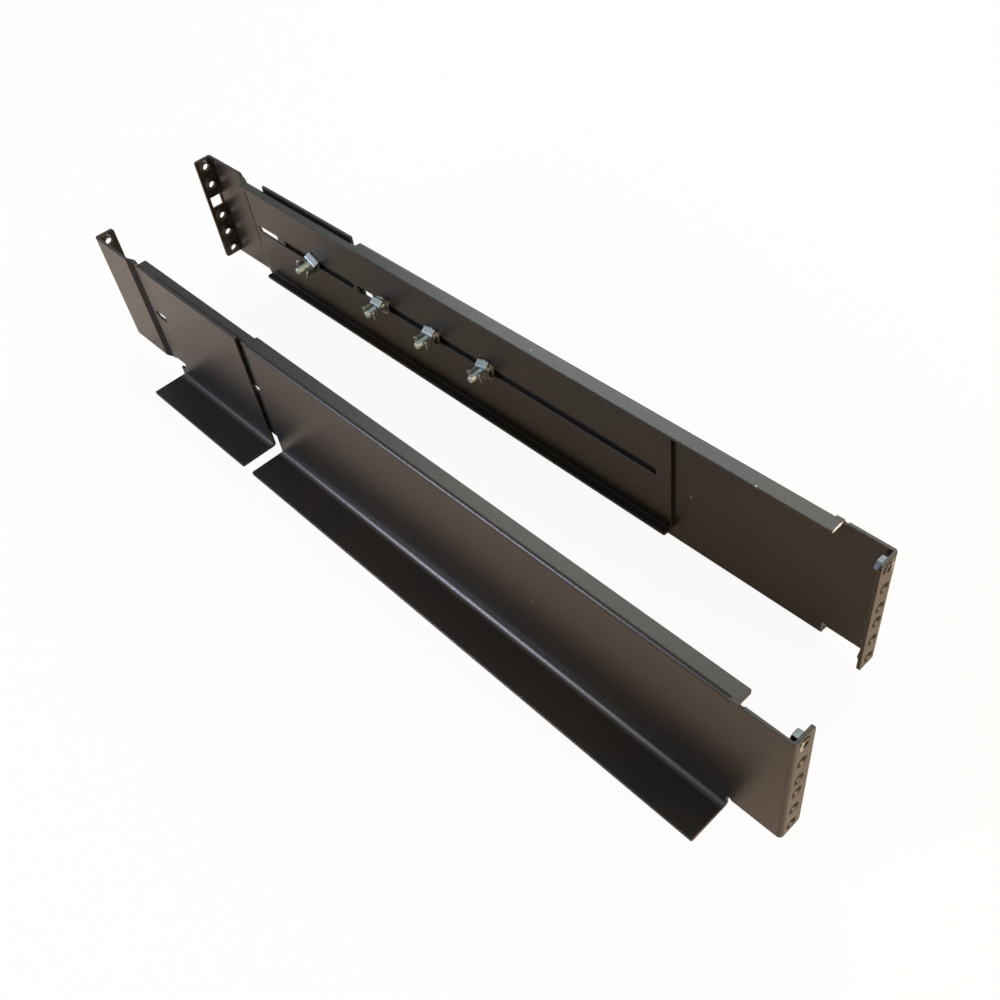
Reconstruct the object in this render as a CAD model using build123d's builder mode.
"""A pair of telescoping rack rails for a rack-mounted UPS, in millimetres.

Each rail is a front rail and a rear slide, two folded sheets clamped together by wing nuts on clinch studs,
with a short support bracket behind. The right rail is modelled first, with its front ear's face at x = 0,
the inner side of its web at y = 0 and the floor at z = 0. The left rail is its mirror image.
"""
import os
from math import cos, hypot, radians, sin

from build123d import *

# Sheet and fits
sheet = 2.0              # thickness of every folded sheet
bend = 0.6               # inner radius of every fold
slide_gap = 0.3          # between the front rail and the rear slide, at the web and at the top flange
corner_radius = 1.2      # free corners of flanges and shelves
relief_radius = 1.4      # round bend reliefs beside the front ear
edge_tolerance = 0.01    # for picking edges by their place

# Ears, on the rack's hole pattern
unit_height = 44.45
units = 2
hole_steps = [15.875, 15.875, 12.7, 15.875, 15.875]
ear_width = 15.0
ear_corner_radius = 2.0
hole_line = 7.7          # from the inner side of the web to the centre of the holes
ear_hole_radius = 2.8
countersink_radius = 4.0
dimple_height = 2.3      # how far a dimple stands out of the ear's back
dimple_base_radius = 5.2
dimple_tip_radius = 3.9
square_hole = 9.5        # cage nut hole in the rear ear
square_hole_index = 3    # counted from the lowest hole

# Front rail, measured from the front ear's face
ear_low = 9.6            # underside of the ears above the floor
shelf_width = 26.8
shelf_start = 33.0
flange_width = 10.8
flange_start = 31.0

# Rear slide
rail_length = 623.0      # ear face to ear face, at rest
slide_length = 482.0
slide_flange_width = 8.0
rear_plate_length = 46.0  # from the rear ear's face to the joggle
joggle_run = 6.5
shoulder_run = 3.0       # full-height plate past the joggle
shoulder_radius = 3.5
slot_width = 6.2
long_slot_setback = 11.0  # from the slide's front edge
slot_land = 4.0          # between the two slots
short_slot_length = 123.0
short_slot_setback = 56.0  # from the rear ear's face

# Support bracket
bracket_setback = 77.0   # from the rear ear's face
bracket_length = 110.0
bracket_foot = 9.0       # height of the foot, which is as long as the short shelf
foot_reach = 10.0        # of the foot and its shelf, behind the bracket's plate
foot_radius = 8.0
rail_gap = 11.0          # between the bracket and the front rail

# Studs, guide, washers and nuts
stud_radius = 2.5
stud_setback = 15.5      # last stud, from the front rail's rear end
stud_pitch = 55.0
stud_count = 3
bracket_stud_setback = 58.0  # from the bracket's front end
stud_head_radius = 3.6
stud_head_depth = 1.0
stud_length = 15.8       # past the rear slide
stud_chamfer = 0.6
guide_setback = 101.0    # from the bracket's front end
guide_length = 11.0
guide_clearance = 0.3    # in the slot
guide_chamfer = 0.4
rivet_radius = 2.2
washer_radius = 7.2
washer_thickness = 1.0
washer_clearance = 0.2
nut_clearance = 0.05
nut_sheet = 1.2
nut_bend = 0.5
nut_rise = 4.0           # outer face of a nut's base, above the washer
nut_half_base = 5.6      # from the thread's axis to a wing
nut_half_width = 4.0     # from the thread's axis to the fold of a skirt
nut_splay = 2.8          # of a skirt
nut_hub_radius = 3.8
nut_wing_width = 6.4
nut_wing_lean = 0.3
nut_wing_height = 6.0
nut_tip_reach = 1.0
nut_tip_rise = 1.4
nut_corner_radius = 1.6
bracket_nut_turn = -30.0
slide_nut_turns = [13.0, 6.0, 4.0]   # from the front
slide_nut_lifts = [0.0, 0.0, 2.0]    # the rearmost of them is loose

# Captive nut in the top hole of the front ear
ear_nut_flats = 8.0
ear_nut_thickness = 4.0
ear_nut_chamfer = 0.5
ear_nut_barrel_radius = 3.2
ear_nut_bore_radius = 2.1
ear_nut_lip_radius = 4.2
ear_nut_lip = 0.5        # its height on the ear's face
ear_nut_lip_rounding = 0.4

# The two rails as they lie beside each other
rail_spacing = 120.4     # between the inner sides of the two webs
rail_stagger = 27.6      # the left rail lies this much further back

# Worked out from the sizes above
ear_height = units * unit_height
rail_top = ear_low + ear_height
hole_span = sum(hole_steps)
lowest_hole = ear_low + (ear_height - hole_span) / 2
hole_heights = [lowest_hole + sum(hole_steps[:i]) for i in range(len(hole_steps) + 1)]
square_height = hole_heights[square_hole_index]
nut_hole_height = hole_heights[-1]
slot_height = lowest_hole + hole_span / 2
fold = bend + sheet
slide_inner = sheet + slide_gap
slide_outer = slide_inner + sheet
slide_top = rail_top - slide_inner
slide_flange_edge = slide_inner + slide_flange_width
slide_start = rail_length - slide_length
joggle_start = rail_length - rear_plate_length
joggle_end = joggle_start - joggle_run
shoulder_end = joggle_end - shoulder_run
short_slot_end = rail_length - short_slot_setback
short_slot_start = short_slot_end - short_slot_length
long_slot_start = slide_start + long_slot_setback
long_slot_end = short_slot_start - slot_land
bracket_end = rail_length - bracket_setback
bracket_start = bracket_end - bracket_length
front_rail_end = bracket_start - rail_gap
stud_places = [front_rail_end - stud_setback - i * stud_pitch for i in reversed(range(stud_count))]
bracket_stud_place = bracket_start + bracket_stud_setback
guide_place = bracket_start + guide_setback
washer_outer = slide_outer + washer_thickness
stud_end = slide_outer + stud_length
dimple_back = sheet + dimple_height


def folded_sheet(plane, *points, folds, side=Side.RIGHT):
    """The edge of a folded sheet: points follow one of its faces, and the sheet lies on the given side."""
    with BuildSketch(plane) as strip:
        with BuildLine():
            FilletPolyline(*points, radius=folds)
            offset(amount=sheet, side=side)
        make_face()
    return strip.sketch


def dimples(x, heights, back):
    """Press dimples out of the back of an ear whose face is at x, then drill and countersink them from the face.

    back is +1 or -1, the way from the face to the back along X.
    """
    for z in heights:
        with Locations(Plane(origin=(x + back * sheet, hole_line, z), z_dir=(back, 0, 0))):
            Cone(dimple_base_radius, dimple_tip_radius, dimple_height, align=(Align.CENTER, Align.CENTER, Align.MIN))
    for z in heights:
        with Locations(Plane(origin=(x, hole_line, z), z_dir=(-back, 0, 0))):
            CounterSinkHole(ear_hole_radius, countersink_radius, depth=dimple_back, counter_sink_angle=90)


def corners(part, axis, *places):
    """Edges along an axis whose centres lie at given (axis, value) places."""
    edges = part.edges().filter_by(axis)
    for across, value in places:
        edges = edges.filter_by_position(across, value - edge_tolerance, value + edge_tolerance)
    return edges


def stud_holes(places):
    """Stepped holes for flush-headed studs, through a sheet whose inner side is at y = 0."""
    with Locations(*[Plane(origin=(-x, 0, slot_height), z_dir=(0, -1, 0)) for x in places]):
        CounterBoreHole(stud_radius, stud_head_radius, stud_head_depth, depth=sheet)


with BuildPart() as front_rail:
    shelf = folded_sheet(Plane.YZ.offset(-shelf_start), (-shelf_width, sheet), (0, sheet), (0, rail_top - fold),
                         folds=bend)
    extrude(shelf, amount=shelf_start - front_rail_end)
    flange = folded_sheet(Plane.YZ.offset(-flange_start), (0, ear_low), (0, rail_top), (flange_width, rail_top),
                          folds=fold)
    extrude(flange, amount=flange_start - front_rail_end)
    ear = folded_sheet(Plane.XY.offset(ear_low), (-shelf_start - fold, 0), (0, 0), (0, ear_width), folds=fold,
                       side=Side.LEFT)
    extrude(ear, amount=ear_height)
    fillet(corners(front_rail, Axis.Z, (Axis.Y, -shelf_width)), corner_radius)
    fillet(corners(front_rail, Axis.Z, (Axis.Y, flange_width)), corner_radius)
    fillet(corners(front_rail, Axis.X, (Axis.Y, ear_width)), ear_corner_radius)
    with BuildSketch(Plane.XZ):
        with Locations((relief_radius - shelf_start, ear_low), (relief_radius - flange_start, rail_top)):
            Circle(relief_radius)
    extrude(amount=-sheet, mode=Mode.SUBTRACT)
    dimples(0, hole_heights[:-1], back=-1)
    with Locations(Plane(origin=(0, hole_line, nut_hole_height), z_dir=(1, 0, 0))):
        Hole(ear_nut_barrel_radius + nut_clearance, depth=sheet)
    stud_holes(stud_places)

with BuildPart() as rear_slide:
    ear = folded_sheet(Plane.XY.offset(ear_low), (-rail_length, ear_width), (-rail_length, 0), (-joggle_start, 0),
                       (-joggle_end, slide_inner), (-shoulder_end, slide_inner), folds=[fold, fold, bend],
                       side=Side.LEFT)
    extrude(ear, amount=ear_height)
    fillet(corners(rear_slide, Axis.X, (Axis.Y, ear_width)), ear_corner_radius)
    fillet(rear_slide.edges().filter_by(Axis.Y).group_by(Axis.X)[-1].sort_by(Axis.Z)[-1], shoulder_radius)
    channel = folded_sheet(Plane.YZ.offset(-slide_start), (slide_flange_edge, ear_low), (slide_inner, ear_low),
                           (slide_inner, slide_top), (slide_flange_edge, slide_top), folds=fold)
    extrude(channel, amount=slide_start - shoulder_end)
    fillet(corners(rear_slide, Axis.Z, (Axis.Y, slide_flange_edge)), corner_radius)
    with BuildSketch(Plane.XZ.offset(-slide_inner)):
        for start, end in ((long_slot_start, long_slot_end), (short_slot_start, short_slot_end)):
            with Locations((-(start + end) / 2, slot_height)):
                SlotOverall(end - start, slot_width)
    extrude(amount=-sheet, mode=Mode.SUBTRACT)
    dimples(-rail_length, [z for z in hole_heights if z != square_height], back=1)
    with BuildSketch(Plane.YZ.offset(-rail_length)):
        with Locations((hole_line, square_height)):
            Rectangle(square_hole, square_hole)
    extrude(amount=sheet, mode=Mode.SUBTRACT)

with BuildPart() as support_bracket:
    plate = folded_sheet(Plane.YZ.offset(-bracket_start), (-shelf_width, sheet), (0, sheet), (0, rail_top),
                         folds=bend)
    extrude(plate, amount=-bracket_length)
    foot = folded_sheet(Plane.YZ.offset(-bracket_end), (-shelf_width, sheet), (0, sheet), (0, bracket_foot),
                        folds=bend)
    extrude(foot, amount=-foot_reach)
    fillet(corners(support_bracket, Axis.Y, (Axis.X, -bracket_end), (Axis.Z, bracket_foot)), foot_radius)
    fillet(corners(support_bracket, Axis.Z, (Axis.Y, -shelf_width)), corner_radius)
    stud_holes([bracket_stud_place])
    with BuildSketch(Plane.XZ):
        with Locations((-guide_place, slot_height)):
            Circle(rivet_radius)
    extrude(amount=-sheet, mode=Mode.SUBTRACT)


def studs(places):
    """Flush-headed clinch studs, pressed into a sheet from its inner side."""
    with BuildPart() as made:
        for x in places:
            with BuildSketch(Plane(origin=(-x, 0, slot_height), x_dir=(1, 0, 0), z_dir=(0, 1, 0))):
                Circle(stud_head_radius)
            extrude(amount=stud_head_depth)
            with BuildSketch(Plane(origin=(-x, 0, slot_height), x_dir=(1, 0, 0), z_dir=(0, 1, 0))):
                Circle(stud_radius)
            extrude(amount=stud_end)
        chamfer(made.faces().group_by(Axis.Y)[-1].edges(), stud_chamfer)
    return made


def washers(places):
    """Flat washers on the outer side of the rear slide."""
    with BuildPart() as made:
        with BuildSketch(Plane.XZ.offset(-slide_outer)):
            with Locations(*[(-x, slot_height) for x in places]):
                Circle(washer_radius)
                Circle(stud_radius + washer_clearance, mode=Mode.SUBTRACT)
        extrude(amount=-washer_thickness)
    return made


def wing_nut(x, turn, lift):
    """A stamped wing nut: a base raised on two splayed skirts, a wing at each end, and a hub round the thread."""
    across = Vector(cos(radians(turn)), 0, sin(radians(turn)))
    along = Vector(-sin(radians(turn)), 0, cos(radians(turn)))
    seat = (-x, washer_outer + lift, slot_height)
    side_view = Plane(origin=seat, x_dir=across, z_dir=along)
    end_view = Plane(origin=seat, x_dir=along, z_dir=-across)   # local y is outward
    top_view = Plane(origin=seat, x_dir=across, z_dir=(0, 1, 0))
    nut_fold = nut_bend + nut_sheet
    foot = nut_half_width + nut_splay
    base_low = nut_rise - nut_sheet
    wing_out = nut_half_base + nut_wing_lean
    wing_high = base_low + nut_wing_height
    tip_high = wing_high + nut_tip_rise
    nut_top = tip_high + nut_sheet * nut_tip_reach / hypot(nut_tip_reach, nut_tip_rise)
    wing = [(nut_half_base, base_low), (wing_out, wing_high), (wing_out + nut_tip_reach, tip_high)]
    with BuildPart() as made:
        with BuildSketch(end_view):
            with BuildLine():
                FilletPolyline((-foot, 0), (-nut_half_width, nut_rise), (nut_half_width, nut_rise), (foot, 0),
                               radius=nut_fold)
                offset(amount=nut_sheet, side=Side.RIGHT)
            make_face()
            Rectangle(2 * foot, nut_rise, align=(Align.CENTER, Align.MAX), mode=Mode.SUBTRACT)
        extrude(amount=nut_half_base, both=True)
        with BuildSketch(side_view):
            with BuildLine():
                FilletPolyline(*[(-u, v) for u, v in reversed(wing)], *wing,
                               radius=[nut_bend, nut_fold, nut_fold, nut_bend])
                offset(amount=nut_sheet, side=Side.LEFT)
            make_face()
        extrude(amount=nut_wing_width / 2, both=True)
        with BuildSketch(end_view):
            with Locations((0, nut_rise + nut_bend)):
                Rectangle(2 * nut_wing_width, nut_top, align=(Align.CENTER, Align.MIN))
            RectangleRounded(nut_wing_width, 2 * nut_top, nut_corner_radius, mode=Mode.SUBTRACT)
        extrude(amount=2 * wing_out, both=True, mode=Mode.SUBTRACT)
        with BuildSketch(top_view):
            Circle(nut_hub_radius)
        extrude(amount=nut_rise)
        with BuildSketch(top_view):
            Circle(stud_radius + nut_clearance)
        extrude(amount=nut_rise, mode=Mode.SUBTRACT)
    return made


with BuildPart() as guide_rivet:     # oblong boss that runs in the short slot, riveted to the bracket
    with BuildSketch(Plane.XZ):
        with Locations((-guide_place, slot_height)):
            Circle(rivet_radius)
    extrude(amount=-sheet)
    with BuildSketch(Plane.XZ.offset(-sheet)):
        with Locations((-guide_place, slot_height)):
            SlotOverall(guide_length, slot_width - 2 * guide_clearance)
    extrude(amount=guide_clearance - slide_gap - sheet)
    chamfer(guide_rivet.faces().sort_by(Axis.Y)[-1].edges(), guide_chamfer)

with BuildPart() as ear_nut:         # captive nut: hex behind the ear, barrel through it, lip on its face
    with BuildSketch(Plane.YZ.offset(-sheet)):
        with Locations((hole_line, nut_hole_height)):
            RegularPolygon(ear_nut_flats / 2, 6, major_radius=False)
    extrude(amount=-ear_nut_thickness)
    chamfer(ear_nut.faces().sort_by(Axis.X)[0].edges(), ear_nut_chamfer)
    with BuildSketch(Plane.YZ.offset(-sheet)):
        with Locations((hole_line, nut_hole_height)):
            Circle(ear_nut_barrel_radius)
    extrude(amount=sheet)
    with BuildSketch(Plane.YZ):
        with Locations((hole_line, nut_hole_height)):
            Circle(ear_nut_lip_radius)
    extrude(amount=ear_nut_lip)
    fillet(ear_nut.faces().sort_by(Axis.X)[-1].edges(), ear_nut_lip_rounding)
    with BuildSketch(Plane.YZ.offset(ear_nut_lip)):
        with Locations((hole_line, nut_hole_height)):
            Circle(ear_nut_bore_radius)
    extrude(amount=-(ear_nut_lip + sheet + ear_nut_thickness), mode=Mode.SUBTRACT)

right_rail = {
    "front_rail": front_rail,
    "rear_slide": rear_slide,
    "support_bracket": support_bracket,
    "slide_studs": studs(stud_places),
    "bracket_stud": studs([bracket_stud_place]),
    "guide_rivet": guide_rivet,
    "slide_washers": washers(stud_places),
    "bracket_washer": washers([bracket_stud_place]),
    "ear_nut": ear_nut,
    "bracket_wing_nut": wing_nut(bracket_stud_place, bracket_nut_turn, lift=0),
}
nut_settings = zip(stud_places, slide_nut_turns, slide_nut_lifts)
for number, (place, turn, lift) in enumerate(nut_settings, start=1):
    right_rail[f"slide_wing_nut_{number}"] = wing_nut(place, turn, lift)

# The pair's middle is at x = 0 and y = 0
overall_length = rail_length + rail_stagger + ear_nut_lip
front_x = overall_length / 2 - ear_nut_lip           # right front ear's face
right_place = Location((front_x, -rail_spacing / 2, 0))
left_place = Location((front_x - rail_stagger, rail_spacing / 2, 0))

os.makedirs("parts", exist_ok=True)
for name, piece in right_rail.items():
    with BuildPart() as right:
        add(piece.part.moved(right_place))
    right.part.label = f"right_{name}"
    export_step(right.part, f"parts/{right.part.label}.step")
    with BuildPart() as left:
        add(mirror(piece.part, about=Plane.XZ, mode=Mode.PRIVATE).moved(left_place))
    left.part.label = f"left_{name}"
    export_step(left.part, f"parts/{left.part.label}.step")
